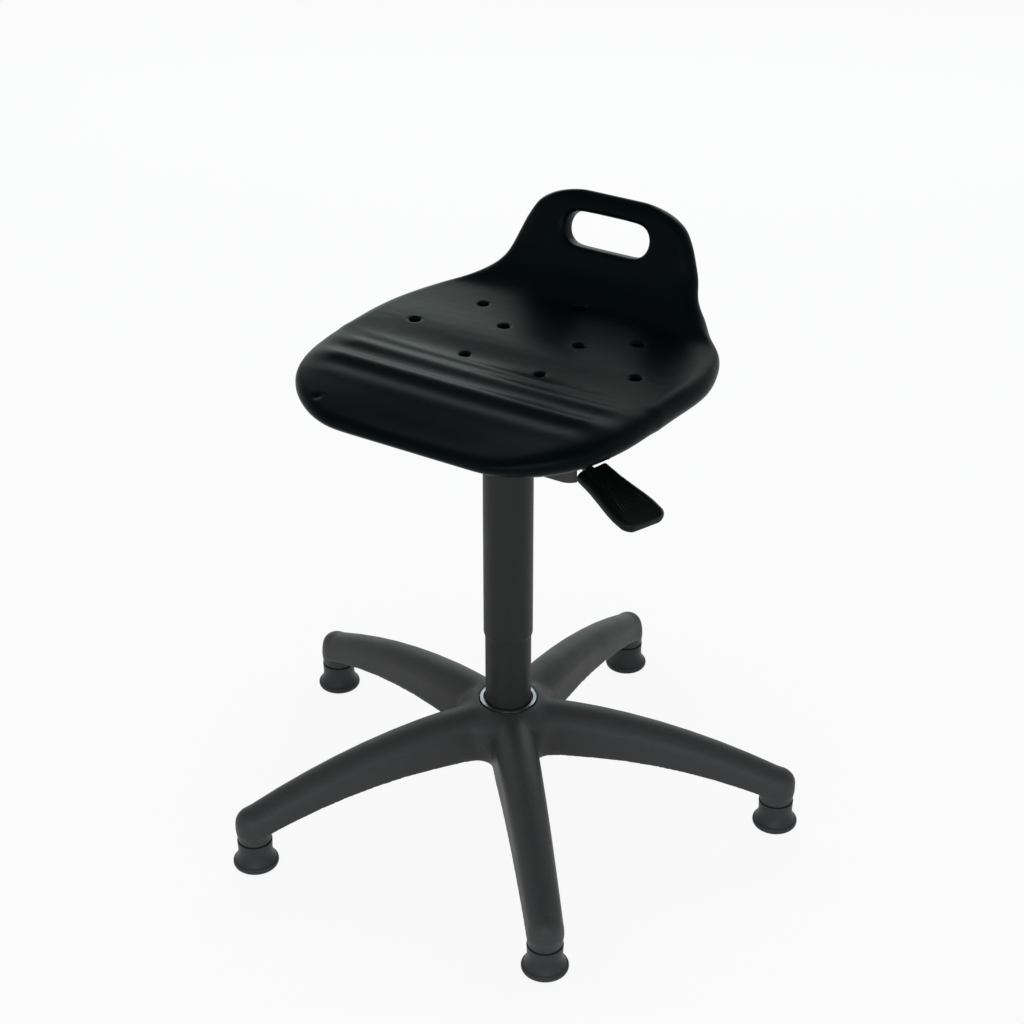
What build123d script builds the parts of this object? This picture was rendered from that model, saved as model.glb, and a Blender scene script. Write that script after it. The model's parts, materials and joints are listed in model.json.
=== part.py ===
"""Height-adjustable swivel work stool: moulded seat with a carry handle, gas lift, five-arm base on glides.

Millimetres, +Z up, origin on the floor at the column's axis. The sitter faces -Y, the release lever is at +X.
"""
from build123d import *
from math import asin, cos, radians, sin, sqrt, tan
import os

# Fits between pieces
RUNNING = 0.05          # radial clearance of a shaft that turns or slides in its bore
SEATED = 0.1            # clearance of a piece that is pressed, glued or moulded in
MOVING_GAP = 0.3        # gap between faces that pass each other

# Five-arm base
ARM_COUNT = 5
ARM_TURN = 39.4         # direction of the first arm, from straight ahead towards the lever side
GLIDE_CIRCLE = 300.0    # radius on which the glides stand
ARM_ROOT = 18.0         # radius at which the root sizes are taken
ARM_START = 34.0        # distance from the axis at which an arm starts, inside the hub
ARM_SECTIONS = 9        # sections along an arm
END_SHARES = (0.35, 0.62, 0.82, 0.94, 0.99)     # sections of its rounded end, as shares of the end's radius
ROOT_WIDTH = 52.6
END_WIDTH = 40.0
ARM_DRAFT = 2.0         # how far each side wall leans in
CROWN = 17.0            # rise of the arm's rounded top over its side walls
ARM_WALL = 5.0
RIB = 4.0
RIB_DEPTH = 7.0         # how far the ribs stop short of the arm's lower edge
CROSS_RIBS = (110.0, 160.0, 210.0, 255.0)
ROOT_TOP = 129.0        # arm's top line: height at the root, half way and at the glide
MID_TOP = 116.2
END_TOP = 73.0
ROOT_UNDER = 70.0       # arm's lower edge at the same places
MID_UNDER = 74.5
END_UNDER = 43.0
HUB_TOP = 129.5
HUB_UNDER = 74.0
HUB_NECK = 38.0         # radius of the hub's flat top
HUB_RADIUS = 66.0       # reach of the hub before the hollows between the arms are taken out
HUB_SHOULDER = 100.0    # height at which the hub starts to draw in
HUB_DOME = (54.0, 117.0)    # radius and height half way down the hub's rounded top
HOLLOW_RADIUS = 18.6    # upright hollow between two arms
HOLLOW_BITE = 0.6       # how far the hollow runs into the arm's side
BOSS_RADIUS = 19.2
BOSS_TAPER = 0.6
BOSS_RISE = 12.0        # how far the boss runs up inside the arm's end

# Glides
GLIDE_HEIGHT = 32.2
GLIDE_GAP = 0.8         # dark line between glide and arm
GLIDE_RIM = 24.4
GLIDE_FOOT = 21.0       # radius of the flat that stands on the floor
RIM_HEIGHT = 5.5        # height of the rim's widest place
RIM_UNDER = (0.8, 1.9)  # lower round half way: distance inside the rim, height
RIM_OVER = (0.6, 1.8)   # upper round half way: distance inside the rim, height over its widest place
RIM_STEP = (2.0, 2.8)   # where the rim ends and the flare begins, likewise
GLIDE_NECK = 18.9
COLLAR = 9.0            # height of the collar under the arm
COLLAR_DRAFT = 0.4
FLARE = (0.8, 9.5)      # flare half way: distance outside the neck, depth under the collar
STEM_RADIUS = 5.5
STEM_LENGTH = 34.0      # length of the stem inside the arm
STEM_SEAT = 12.0        # length of the stem inside the glide
STEM_BEVEL = 2.0
GRIP_BULGE = 0.35       # the grip ring is this much proud of the stem
GRIP_HALF = 3.0         # half the grip ring's length
GRIP_BEVEL = 1.0
SOCKET_SPARE = 3.0

# Column and gas lift
TUBE_RADIUS = 25.0
TUBE_WALL = 2.0
TUBE_TOP = 300.0
TUBE_BOTTOM = 52.0
TUBE_FLOOR = 4.0
TUBE_ROUND = 3.0
TAPER = 0.025           # radius lost per millimetre in the hub's and the seat's tapers
SLEEVE_UNDER = 64.0     # height of the sleeve's lower end
SLEEVE_RADIUS = 31.0
SLEEVE_MOUTH = 27.6
MOUTH_DEPTH = 7.0
SLEEVE_PROUD = 0.4
BUSH_LENGTH = 78.0
BUSH_FLANGE = 3.0
CYLINDER_RADIUS = 14.0
CYLINDER_WALL = 1.8
CYLINDER_TOP = 476.0
CYLINDER_HEAD = 40.0    # solid length at the top, which holds the valve
SEAT_TAPER_LENGTH = 45.0
ROD_RADIUS = 5.0
ROD_TAIL = 4.0          # radius of the rod's end that goes through the tube's floor
GUIDE_LENGTH = 18.0
STROKE_UP = 65.0
STROKE_DOWN = 65.0
STROKE_SPARE = 4.5      # room left between cylinder and buffer at the lowest seat
PISTON_SPARE = 2.0      # room left between rod guide and piston at the highest seat
PISTON_LENGTH = 12.0
PISTON_SEAT = 3.5       # radius of the rod inside the piston
SEAL_LAND = 4.0         # length of the piston on each side of its seal groove
SEAL_DEPTH = 1.5
WASHER = 2.5
BALL = 4.5
BALL_COUNT = 9
BALL_FREE = 0.05        # room between a ball and the washers
CAGE = 1.8
BEARING_RADIUS = 13.0
TAIL_CLEAR = 0.3        # room round the rod's tail in the pieces that stand still
BUFFER_LENGTH = 10.0
BUFFER_RADIUS = 10.0
BUFFER_WAIST = 1.5      # how far the buffer draws in half way up
RETAINER = 1.8          # thickness of the washer under the tube's floor
RETAINER_RADIUS = 8.0
CLIP = 1.2
CLIP_RADIUS = 7.0
GROOVE = 0.8
TAIL_END = 2.0

# Cover tube
COVER_RADIUS = 26.7
COVER_WALL = 1.4
COVER_BOTTOM = 213.5
COVER_LIP = 3.0

# Seat carrier and release lever
UNDERSIDE = 500.0       # height of the seat's flat underside
PLATE = 3.0
PLATE_X = 262.0
PLATE_Y = 172.0
PLATE_CORNER = 16.0
SKIRT = 29.0
SCREW_X = 150.0
SCREW_Y = 120.0
SCREW_RADIUS = 4.0
SCREW_HOLE = 4.4
HEAD_RADIUS = 7.0
HEAD_HEIGHT = 4.5
HEAD_BEVEL = 2.0
HEAD_SOCKET = 2.4       # radius and depth of the hexagon socket
HEAD_SOCKET_DEPTH = 2.5
SCREW_SPARE = 2.0       # the screws end this far under the board's top
CHANNEL_INSIDE = 34.0
CHANNEL_WALL = 3.0
CHANNEL_BACK = 32.0
CHANNEL_FRONT = 62.0
CHANNEL_SINK = 2.0      # the channel's floor is this far under the cylinder's top
SOCKET_RADIUS = 20.0
SOCKET_LENGTH = 46.0
LEVER_TURN = -21.0      # direction of the lever, from +X towards the front
LEVER_RADIUS = 5.0
LEVER_REACH = 32.0      # distance from the valve pin to the lever's pivot
LEVER_NOSE = 9.0
LEVER_BEND = 60.0       # distance from the axis to the lever's bend
LEVER_DROP = 12.7       # slope of the outer lever, degrees
PIVOT_RADIUS = 2.5
PIVOT_HEAD = 4.0
PIVOT_SLEEVE = 4.6
PIN_RADIUS = 4.0
PIN_PROUD = 5.0
PIN_LENGTH = 26.0
PIN_DOME = 5.0
HANDLE_START = 138.0
HANDLE_LENGTH = 88.0
HANDLE_SOCKET = 52.0
HANDLE_SPARE = 1.0      # room between the lever's end and the bottom of the handle's socket
NOTCH_WIDTH = 54.0
NOTCH_RISE = 19.0

# Moulded seat
SEAT_WIDTH = 384.0
EDGE_ROUND = 14.0
FLAT_TOP = 0.02         # a top that is dished by less than this is straight
PAN = 540.5             # height of the pan's middle
EDGE_LEVEL = 531.0      # height of the middle of the rounded edge
RIDGE_FRONT = 549.0     # heights of the two cross ridges and of the valley between them
RIDGE_VALLEY = 543.6
RIDGE_BACK = 546.6
BEND_RADIUS = 50.0
BEND_START = 133.6      # where the pan starts to turn up
BEND_LEVEL = 543.0
RECLINE = 16.4          # lean of the back, degrees from upright
BACK_THICK = 26.0
BACK_RISE = 72.0        # length of the back above the bend
SLOT_WIDTH = 102.0
SLOT_HEIGHT = 36.5
SLOT_CORNER = 16.5
SLOT_CENTRE = 31.0      # distance of the slot's middle above the bend
VENT_RADIUS = 5.6
VENT_FLARE = 2.4        # how far the mouth opens out
VENT_MOUTH = 3.2        # depth of the mouth
VENT_REACH = 3.0        # the mouth is cut up to this height over the pan
VENTS = ((44.5, -12.0), (132.6, 26.5), (45.0, 63.7), (94.7, 100.3))
VENT_MIDDLE = 140.7
CORE_X = 250.0
CORE_Y = 230.0
CORE_THICK = 11.0
CORE_CORNER = 45.0
CORE_RIM = 6.0          # foam round the board at the underside
INSERT_RADIUS = 6.0


def revolved(points):
    """Solid of revolution about Z from an outline of (radius, height) points."""
    outline = Polyline(*[(radius, 0, height) for radius, height in points], close=True)
    return revolve(make_face(outline), Axis.Z)


def tube(outer, inner, low, high):
    return revolved([(inner, low), (outer, low), (outer, high), (inner, high)])


def rod_between(start, end, radius):
    """Round bar from one point to another."""
    plane = Plane(origin=start, z_dir=Vector(*end) - Vector(*start))
    return extrude(plane * Circle(radius), (Vector(*end) - Vector(*start)).length)


def arc_height(distance, root, mid, end):
    """Height on the parabola through three points: at the arm's root, half way and at the glide."""
    half = (ARM_ROOT + GLIDE_CIRCLE) / 2
    step = (distance - half) / (GLIDE_CIRCLE - half)
    return mid + (end - root) / 2 * step + ((end + root) / 2 - mid) * step * step


def arm_width(distance):
    share = (distance - ARM_ROOT) / (GLIDE_CIRCLE - ARM_ROOT)
    return ROOT_WIDTH + (END_WIDTH - ROOT_WIDTH) * share


def arm_outline(distance, inset=0.0, deepen=0.0):
    """Cross-section of an arm: straight leaning walls under a round crown."""
    half = arm_width(distance) / 2 - inset
    top = arc_height(distance, ROOT_TOP, MID_TOP, END_TOP) - inset
    under = arc_height(distance, ROOT_UNDER, MID_UNDER, END_UNDER) - deepen
    shoulder = half - ARM_DRAFT
    spring = top - CROWN + inset / 2
    return half, shoulder, under, spring, top


def arm_section(distance, inset=0.0, deepen=0.0, beyond=0.0):
    """Section across an arm; past the glide's axis it closes like a quarter ball."""
    half, shoulder, under, spring, top = arm_outline(distance, inset, deepen)
    close = sqrt(1 - (2 * beyond / END_WIDTH) ** 2)
    half, shoulder, top = half * close, shoulder * close, spring + (top - spring) * close
    edges = [
        Line((-half, under), (-shoulder, spring)),
        ThreePointArc((-shoulder, spring), (0, top), (shoulder, spring)),
        Line((shoulder, spring), (half, under)),
        Line((half, under), (-half, under)),
    ]
    plane = Plane(origin=(distance + beyond, 0, 0), x_dir=(0, 1, 0), z_dir=(1, 0, 0))
    return plane * make_face(edges)


def arm_stations(start, end, count):
    return [start + (end - start) * index / (count - 1) for index in range(count)]


def arm():
    """One arm from the hub to its rounded end, with the boss that holds the glide."""
    sections = [arm_section(at) for at in arm_stations(ARM_START, GLIDE_CIRCLE, ARM_SECTIONS)]
    sections += [arm_section(GLIDE_CIRCLE, beyond=END_WIDTH / 2 * share) for share in END_SHARES]
    boss_low = GLIDE_HEIGHT + GLIDE_GAP
    boss_high = END_UNDER + BOSS_RISE
    boss = revolved([(0, boss_low), (BOSS_RADIUS - BOSS_TAPER, boss_low), (BOSS_RADIUS, boss_high), (0, boss_high)])
    return loft(sections, ruled=True) + Pos(GLIDE_CIRCLE, 0, 0) * boss


def arm_hollow():
    """Space under an arm, left open below, with one rib along it and several across."""
    start = HUB_RADIUS + ARM_WALL
    end = GLIDE_CIRCLE - BOSS_RADIUS - ARM_WALL / 2
    stations = arm_stations(start, end, ARM_SECTIONS)
    hollow = loft([arm_section(at, ARM_WALL, ARM_WALL) for at in stations], ruled=True)
    for at in CROSS_RIBS:
        under = arc_height(at, ROOT_UNDER, MID_UNDER, END_UNDER) + RIB_DEPTH
        hollow -= Pos(at, 0, under + ROOT_TOP / 2) * Box(RIB, ROOT_WIDTH, ROOT_TOP)
    rib_low = [(at, arc_height(at, ROOT_UNDER, MID_UNDER, END_UNDER) + RIB_DEPTH)
               for at in arm_stations(start, end, 4)]
    rib_side = Polyline(*[(at, 0, low) for at, low in rib_low],
                        (end, 0, ROOT_TOP), (start, 0, ROOT_TOP), close=True)
    return hollow - extrude(make_face(rib_side), RIB / 2, both=True)


def hub():
    """Domed hub whose sides are hollowed between the arms."""
    dome_radius, dome_height = HUB_DOME
    edges = [
        Line((0, 0, HUB_UNDER), (HUB_RADIUS, 0, HUB_UNDER)),
        Line((HUB_RADIUS, 0, HUB_UNDER), (HUB_RADIUS, 0, HUB_SHOULDER)),
        ThreePointArc((HUB_RADIUS, 0, HUB_SHOULDER), (dome_radius, 0, dome_height), (HUB_NECK, 0, HUB_TOP)),
        Line((HUB_NECK, 0, HUB_TOP), (0, 0, HUB_TOP)),
        Line((0, 0, HUB_TOP), (0, 0, HUB_UNDER)),
    ]
    body = revolve(make_face(edges), Axis.Z)
    half_step = 180 / ARM_COUNT
    side = ROOT_WIDTH / 2 - ARM_DRAFT + HOLLOW_RADIUS - HOLLOW_BITE
    for index in range(ARM_COUNT):
        hollow = Pos(side / sin(radians(half_step)), 0, HUB_UNDER) * Cylinder(HOLLOW_RADIUS, 2 * HUB_TOP)
        body -= arm_turn(index) * Rot(0, 0, half_step) * hollow
    return body


def arm_turn(index):
    return Rot(0, 0, ARM_TURN - 90 + 360 / ARM_COUNT * index)


def star_base():
    socket = Pos(GLIDE_CIRCLE, 0, GLIDE_HEIGHT + GLIDE_GAP) * Cylinder(
        STEM_RADIUS + GRIP_BULGE + RUNNING, STEM_LENGTH + SOCKET_SPARE,
        align=(Align.CENTER, Align.CENTER, Align.MIN))
    one_arm = arm() - socket - arm_hollow()
    body = hub()
    for index in range(ARM_COUNT):
        body += arm_turn(index) * one_arm
    return body - Pos(0, 0, HUB_TOP / 2) * Cylinder(SLEEVE_RADIUS + SEATED, 2 * HUB_TOP)


def at_glide(index, piece):
    return arm_turn(index) * Pos(GLIDE_CIRCLE, 0, 0) * piece


def glide_foot():
    """Bell-shaped glide: flat foot, rounded rim, hollow flare and a short collar."""
    collar = GLIDE_HEIGHT - COLLAR
    rim = (GLIDE_RIM, 0, RIM_HEIGHT)
    step = (GLIDE_RIM - RIM_STEP[0], 0, RIM_HEIGHT + RIM_STEP[1])
    waist = (GLIDE_NECK - COLLAR_DRAFT, 0, collar)
    edges = [
        Line((0, 0, 0), (GLIDE_FOOT, 0, 0)),
        ThreePointArc((GLIDE_FOOT, 0, 0), (GLIDE_RIM - RIM_UNDER[0], 0, RIM_UNDER[1]), rim),
        ThreePointArc(rim, (GLIDE_RIM - RIM_OVER[0], 0, RIM_HEIGHT + RIM_OVER[1]), step),
        ThreePointArc(step, (GLIDE_NECK + FLARE[0], 0, collar - FLARE[1]), waist),
        Line(waist, (GLIDE_NECK, 0, GLIDE_HEIGHT)),
        Line((GLIDE_NECK, 0, GLIDE_HEIGHT), (0, 0, GLIDE_HEIGHT)),
        Line((0, 0, GLIDE_HEIGHT), (0, 0, 0)),
    ]
    foot = revolve(make_face(edges), Axis.Z)
    return foot - Pos(0, 0, GLIDE_HEIGHT) * Cylinder(STEM_RADIUS + SEATED, 2 * STEM_SEAT)


def glide_stem():
    """Steel stem with a chamfered tip and a bulged grip ring."""
    low = GLIDE_HEIGHT - STEM_SEAT
    tip = GLIDE_HEIGHT + GLIDE_GAP + STEM_LENGTH
    ring = tip - 2 * STEM_RADIUS
    bulge = STEM_RADIUS + GRIP_BULGE
    ring_end = GRIP_HALF + GRIP_BEVEL
    return revolved([(0, low), (STEM_RADIUS, low), (STEM_RADIUS, ring - ring_end), (bulge, ring - GRIP_HALF),
                     (bulge, ring + GRIP_HALF), (STEM_RADIUS, ring + ring_end), (STEM_RADIUS, tip - STEM_BEVEL),
                     (STEM_RADIUS - STEM_BEVEL, tip), (0, tip)])


def taper_radius(height):
    """Radius of the column inside the hub: it narrows downwards from the sleeve's mouth."""
    return TUBE_RADIUS - TAPER * max(0.0, HUB_TOP - MOUTH_DEPTH - height)


def hub_sleeve():
    """Plated steel sleeve in the hub with the taper that grips the column."""
    top = HUB_TOP + SLEEVE_PROUD
    mouth = HUB_TOP - MOUTH_DEPTH
    return revolved([(taper_radius(SLEEVE_UNDER) + SEATED, SLEEVE_UNDER), (SLEEVE_RADIUS, SLEEVE_UNDER),
                     (SLEEVE_RADIUS, top), (SLEEVE_MOUTH, top), (SLEEVE_MOUTH, mouth),
                     (taper_radius(mouth) + SEATED, mouth)])


def column_tube():
    mouth = HUB_TOP - MOUTH_DEPTH
    floor = TUBE_BOTTOM + TUBE_FLOOR
    low = taper_radius(TUBE_BOTTOM)
    return revolved([(ROD_TAIL + TAIL_CLEAR, TUBE_BOTTOM), (low - TUBE_ROUND, TUBE_BOTTOM),
                     (low, TUBE_BOTTOM + TUBE_ROUND), (TUBE_RADIUS, mouth), (TUBE_RADIUS, TUBE_TOP),
                     (TUBE_RADIUS - TUBE_WALL, TUBE_TOP), (TUBE_RADIUS - TUBE_WALL, mouth),
                     (taper_radius(floor) - TUBE_WALL, floor), (ROD_TAIL + TAIL_CLEAR, floor)])


def guide_bush():
    """Plastic bush in the tube's mouth that guides the gas cylinder."""
    inner = CYLINDER_RADIUS + RUNNING
    body = TUBE_RADIUS - TUBE_WALL - SEATED
    low = TUBE_TOP - BUSH_LENGTH
    return revolved([(inner, low), (body, low), (body, TUBE_TOP), (TUBE_RADIUS, TUBE_TOP),
                     (TUBE_RADIUS, TUBE_TOP + BUSH_FLANGE), (inner, TUBE_TOP + BUSH_FLANGE)])


def bearing_levels():
    """Heights of the thrust bearing: floor, top of the lower washer, top of the balls, top of the upper washer."""
    floor = TUBE_BOTTOM + TUBE_FLOOR
    return floor, floor + WASHER, floor + WASHER + BALL, floor + 2 * WASHER + BALL


def bearing_lower_washer():
    floor, lower, _, _ = bearing_levels()
    return tube(BEARING_RADIUS, ROD_TAIL + TAIL_CLEAR, floor, lower)


def bearing_upper_washer():
    _, _, balls, upper = bearing_levels()
    return tube(BEARING_RADIUS, ROD_TAIL + SEATED, balls, upper)


def bearing_cage():
    """Balls in a thin cage; the balls are a little free of both washers."""
    _, lower, balls, _ = bearing_levels()
    middle = (lower + balls) / 2
    pitch = (BEARING_RADIUS + ROD_TAIL) / 2 + SEATED
    cage = tube(BEARING_RADIUS - SEATED, ROD_TAIL + TAIL_CLEAR, middle - CAGE / 2, middle + CAGE / 2)
    for index in range(BALL_COUNT):
        turn = Rot(0, 0, 360 / BALL_COUNT * index)
        cage += turn * Pos(pitch, 0, middle) * Sphere(BALL / 2 - BALL_FREE)
    return cage


def rubber_buffer():
    _, _, _, upper = bearing_levels()
    top = upper + BUFFER_LENGTH
    waist = BUFFER_RADIUS - BUFFER_WAIST
    return revolved([(ROD_RADIUS + SEATED, upper), (BUFFER_RADIUS, upper), (waist, (upper + top) / 2),
                     (BUFFER_RADIUS, top), (ROD_RADIUS + SEATED, top)])


def cylinder_bottom():
    """Lower end of the gas cylinder: clear of the buffer at the lowest seat."""
    _, _, _, upper = bearing_levels()
    return upper + BUFFER_LENGTH + STROKE_SPARE + STROKE_DOWN


def piston_low():
    return cylinder_bottom() + GUIDE_LENGTH + STROKE_UP + PISTON_SPARE


def clip_levels():
    """Lower and upper face of the spring clip under the tube's floor."""
    high = TUBE_BOTTOM - MOVING_GAP - RETAINER
    return high - CLIP, high


def piston_rod():
    _, _, _, upper = bearing_levels()
    clip_low, clip_high = clip_levels()
    groove = ROD_TAIL - GROOVE
    tail = clip_low - TAIL_END
    seat = piston_low()
    return revolved([(0, tail), (ROD_TAIL, tail), (ROD_TAIL, clip_low), (groove, clip_low), (groove, clip_high),
                     (ROD_TAIL, clip_high), (ROD_TAIL, upper), (ROD_RADIUS, upper), (ROD_RADIUS, seat),
                     (PISTON_SEAT, seat), (PISTON_SEAT, seat + PISTON_LENGTH), (0, seat + PISTON_LENGTH)])


def rod_washer():
    _, clip_high = clip_levels()
    return tube(RETAINER_RADIUS, ROD_TAIL + SEATED, clip_high, clip_high + RETAINER)


def rod_clip():
    """Open spring clip in the rod's groove."""
    low, high = clip_levels()
    ring = tube(CLIP_RADIUS, ROD_TAIL - GROOVE + SEATED, low, high)
    return ring - Pos(CLIP_RADIUS, 0, (low + high) / 2) * Box(2 * CLIP_RADIUS, 2 * ROD_TAIL - 2 * GROOVE, 2 * CLIP)


def piston():
    """Piston with one seal groove."""
    low = piston_low()
    high = low + PISTON_LENGTH
    outer = CYLINDER_RADIUS - CYLINDER_WALL - SEATED
    inner = PISTON_SEAT + SEATED
    groove = outer - SEAL_DEPTH
    return revolved([(inner, low), (outer, low), (outer, low + SEAL_LAND), (groove, low + SEAL_LAND),
                     (groove, high - SEAL_LAND), (outer, high - SEAL_LAND), (outer, high), (inner, high)])


def cylinder_taper(height):
    return CYLINDER_RADIUS - TAPER * max(0.0, height - (CYLINDER_TOP - SEAT_TAPER_LENGTH))


def gas_cylinder():
    bore = CYLINDER_RADIUS - CYLINDER_WALL
    shoulder = CYLINDER_TOP - SEAT_TAPER_LENGTH
    head = CYLINDER_TOP - CYLINDER_HEAD
    valve = PIN_RADIUS + RUNNING
    low = cylinder_bottom()
    return revolved([(bore, low), (CYLINDER_RADIUS, low), (CYLINDER_RADIUS, shoulder),
                     (cylinder_taper(CYLINDER_TOP), CYLINDER_TOP), (valve, CYLINDER_TOP), (valve, head),
                     (bore, head)])


def rod_guide():
    """Guide and seal that close the cylinder's lower end round the rod."""
    low = cylinder_bottom()
    return tube(CYLINDER_RADIUS - CYLINDER_WALL - SEATED, ROD_RADIUS + RUNNING, low, low + GUIDE_LENGTH)


def release_pin():
    """Domed valve pin on top of the cylinder."""
    top = CYLINDER_TOP + PIN_PROUD
    centre = top - PIN_DOME
    edge = centre + sqrt(PIN_DOME ** 2 - PIN_RADIUS ** 2)
    half_arc = asin(PIN_RADIUS / PIN_DOME) / 2
    half_way = (PIN_DOME * sin(half_arc), 0, centre + PIN_DOME * cos(half_arc))
    edges = [
        Line((0, 0, top - PIN_LENGTH), (PIN_RADIUS, 0, top - PIN_LENGTH)),
        Line((PIN_RADIUS, 0, top - PIN_LENGTH), (PIN_RADIUS, 0, edge)),
        ThreePointArc((PIN_RADIUS, 0, edge), half_way, (0, 0, top)),
        Line((0, 0, top), (0, 0, top - PIN_LENGTH)),
    ]
    return revolve(make_face(edges), Axis.Z)


def channel_floor():
    """Top face of the lever channel's floor."""
    return CYLINDER_TOP - CHANNEL_SINK


def taper_socket():
    """Steel socket under the channel that takes the cylinder's taper."""
    high = channel_floor() - CHANNEL_WALL
    low = high - SOCKET_LENGTH
    shoulder = CYLINDER_TOP - SEAT_TAPER_LENGTH
    points = [(cylinder_taper(low) + SEATED, low), (SOCKET_RADIUS, low), (SOCKET_RADIUS, high),
              (cylinder_taper(high) + SEATED, high)]
    if shoulder > low:
        points.append((CYLINDER_RADIUS + SEATED, shoulder))
    return revolved(points)


def cover_tube():
    """Telescopic cover: bevelled at its lower end, with a lip at the top round the socket."""
    inner = COVER_RADIUS - COVER_WALL
    top = channel_floor() - CHANNEL_WALL
    return revolved([(inner, COVER_BOTTOM), (COVER_RADIUS - COVER_WALL / 2, COVER_BOTTOM),
                     (COVER_RADIUS, COVER_BOTTOM + 2 * COVER_WALL), (COVER_RADIUS, top),
                     (SOCKET_RADIUS + SEATED, top), (SOCKET_RADIUS + SEATED, top - COVER_LIP),
                     (inner, top - COVER_LIP)])


def lever_frame(piece):
    return Rot(0, 0, LEVER_TURN) * piece


def lever_axis_height():
    return CYLINDER_TOP + PIN_PROUD + MOVING_GAP + LEVER_RADIUS


def lever_channel():
    """Pressed channel under the plate: it carries the socket below and the lever's pivot inside."""
    floor = channel_floor()
    top = UNDERSIDE - PLATE
    length = CHANNEL_BACK + CHANNEL_FRONT
    middle = (CHANNEL_FRONT - CHANNEL_BACK) / 2
    outside = CHANNEL_INSIDE + 2 * CHANNEL_WALL
    low = floor - CHANNEL_WALL
    block = Pos(middle, 0, (low + top) / 2) * Box(length, outside, top - low)
    block -= Pos(middle, 0, floor + (top - floor)) * Box(2 * length, CHANNEL_INSIDE, 2 * (top - floor))
    block -= Pos(0, 0, floor) * Cylinder(cylinder_taper(low) + SEATED, 4 * CHANNEL_WALL)
    block -= Pos(LEVER_REACH, 0, lever_axis_height()) * Rot(90, 0, 0) * Cylinder(PIVOT_RADIUS + RUNNING, 2 * outside)
    return lever_frame(block)


def lever_pivot_pin():
    outside = CHANNEL_INSIDE + 2 * CHANNEL_WALL
    pin = Cylinder(PIVOT_RADIUS, outside + 2 * PIVOT_RADIUS)
    for side in (-1, 1):
        pin += Pos(0, 0, side * (outside + PIVOT_RADIUS) / 2) * Cylinder(PIVOT_HEAD, PIVOT_RADIUS)
    return lever_frame(Pos(LEVER_REACH, 0, lever_axis_height()) * Rot(90, 0, 0) * pin)


def lever_point(distance):
    """Point on the lever's outer, sloping stretch, in the lever's own upright plane."""
    return (distance, 0, lever_axis_height() - (distance - LEVER_BEND) * tan(radians(LEVER_DROP)))


def lever_rod():
    """Bent steel lever with a cross sleeve for its pivot pin."""
    height = lever_axis_height()
    bend = (LEVER_BEND, 0, height)
    end = lever_point(HANDLE_START + (HANDLE_SOCKET - HANDLE_SPARE) * cos(radians(LEVER_DROP)))
    rod = rod_between((-LEVER_NOSE, 0, height), bend, LEVER_RADIUS)
    rod += rod_between(bend, end, LEVER_RADIUS)
    rod += Pos(*bend) * Sphere(LEVER_RADIUS)
    sleeve = Pos(LEVER_REACH, 0, height) * Rot(90, 0, 0) * Cylinder(PIVOT_SLEEVE, CHANNEL_INSIDE - 2 * MOVING_GAP)
    rod += sleeve
    rod -= Pos(LEVER_REACH, 0, height) * Rot(90, 0, 0) * Cylinder(PIVOT_RADIUS + RUNNING, 2 * CHANNEL_INSIDE)
    return lever_frame(rod)


def handle_section(plane, half_width, half_thick, sink):
    """Paddle section: rounded sides, a hollowed top and a full underside."""
    corner = half_width - half_thick
    lean = half_thick * cos(radians(45))
    side = corner + lean
    edges = [
        ThreePointArc((-corner, half_thick), (0, half_thick - sink), (corner, half_thick)),
        ThreePointArc((corner, half_thick), (side, lean), (half_width, 0)),
        ThreePointArc((half_width, 0), (side, -lean), (corner, -half_thick)),
        ThreePointArc((corner, -half_thick), (0, -half_thick - sink / 2), (-corner, -half_thick)),
        ThreePointArc((-corner, -half_thick), (-side, -lean), (-half_width, 0)),
        ThreePointArc((-half_width, 0), (-side, lean), (-corner, half_thick)),
    ]
    return plane * make_face(edges)


def lever_handle():
    """Plastic paddle pushed over the lever: it widens outwards and ends in a rounded lip."""
    slope = radians(LEVER_DROP)
    along = Vector(cos(slope), 0, -sin(slope))
    start = Vector(*lever_point(HANDLE_START))
    # share of the length, half width, half thickness, hollow of the top
    stations = ((0.0, 20.6, 7.2, 0.4), (0.2, 21.2, 7.6, 0.6), (0.5, 23.0, 7.4, 1.2), (0.76, 26.2, 6.6, 1.4),
                (0.92, 25.6, 5.6, 0.8), (0.98, 21.0, 4.0, 0.4), (1.0, 15.0, 2.4, 0.2))
    sections = []
    for share, half_width, half_thick, sink in stations:
        plane = Plane(origin=start + along * (HANDLE_LENGTH * share), x_dir=(0, 1, 0), z_dir=along)
        sections.append(handle_section(plane, half_width, half_thick, sink))
    handle = loft(sections)
    end = start + along * HANDLE_SOCKET
    handle -= rod_between(tuple(start - along), tuple(end), LEVER_RADIUS + SEATED)
    return lever_frame(handle)


def plate_outline(inset=0.0):
    return RectangleRounded(PLATE_X - 2 * inset, PLATE_Y - 2 * inset, PLATE_CORNER - inset)


def screw_places():
    return [(x * SCREW_X / 2, y * SCREW_Y / 2) for x in (-1, 1) for y in (-1, 1)]


def seat_plate():
    """Pressed plate with a turned-down skirt, notched where the lever passes."""
    plate = Pos(0, 0, UNDERSIDE - PLATE) * extrude(plate_outline(), PLATE)
    skirt = Pos(0, 0, UNDERSIDE - SKIRT) * extrude(plate_outline() - plate_outline(PLATE), SKIRT)
    plate += skirt
    for x, y in screw_places():
        plate -= Pos(x, y, UNDERSIDE) * Cylinder(SCREW_HOLE, 4 * PLATE)
    notch = Pos(PLATE_X / 2, 0, UNDERSIDE - SKIRT) * Box(PLATE_X / 2, NOTCH_WIDTH, 2 * NOTCH_RISE)
    return plate - lever_frame(notch)


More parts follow.
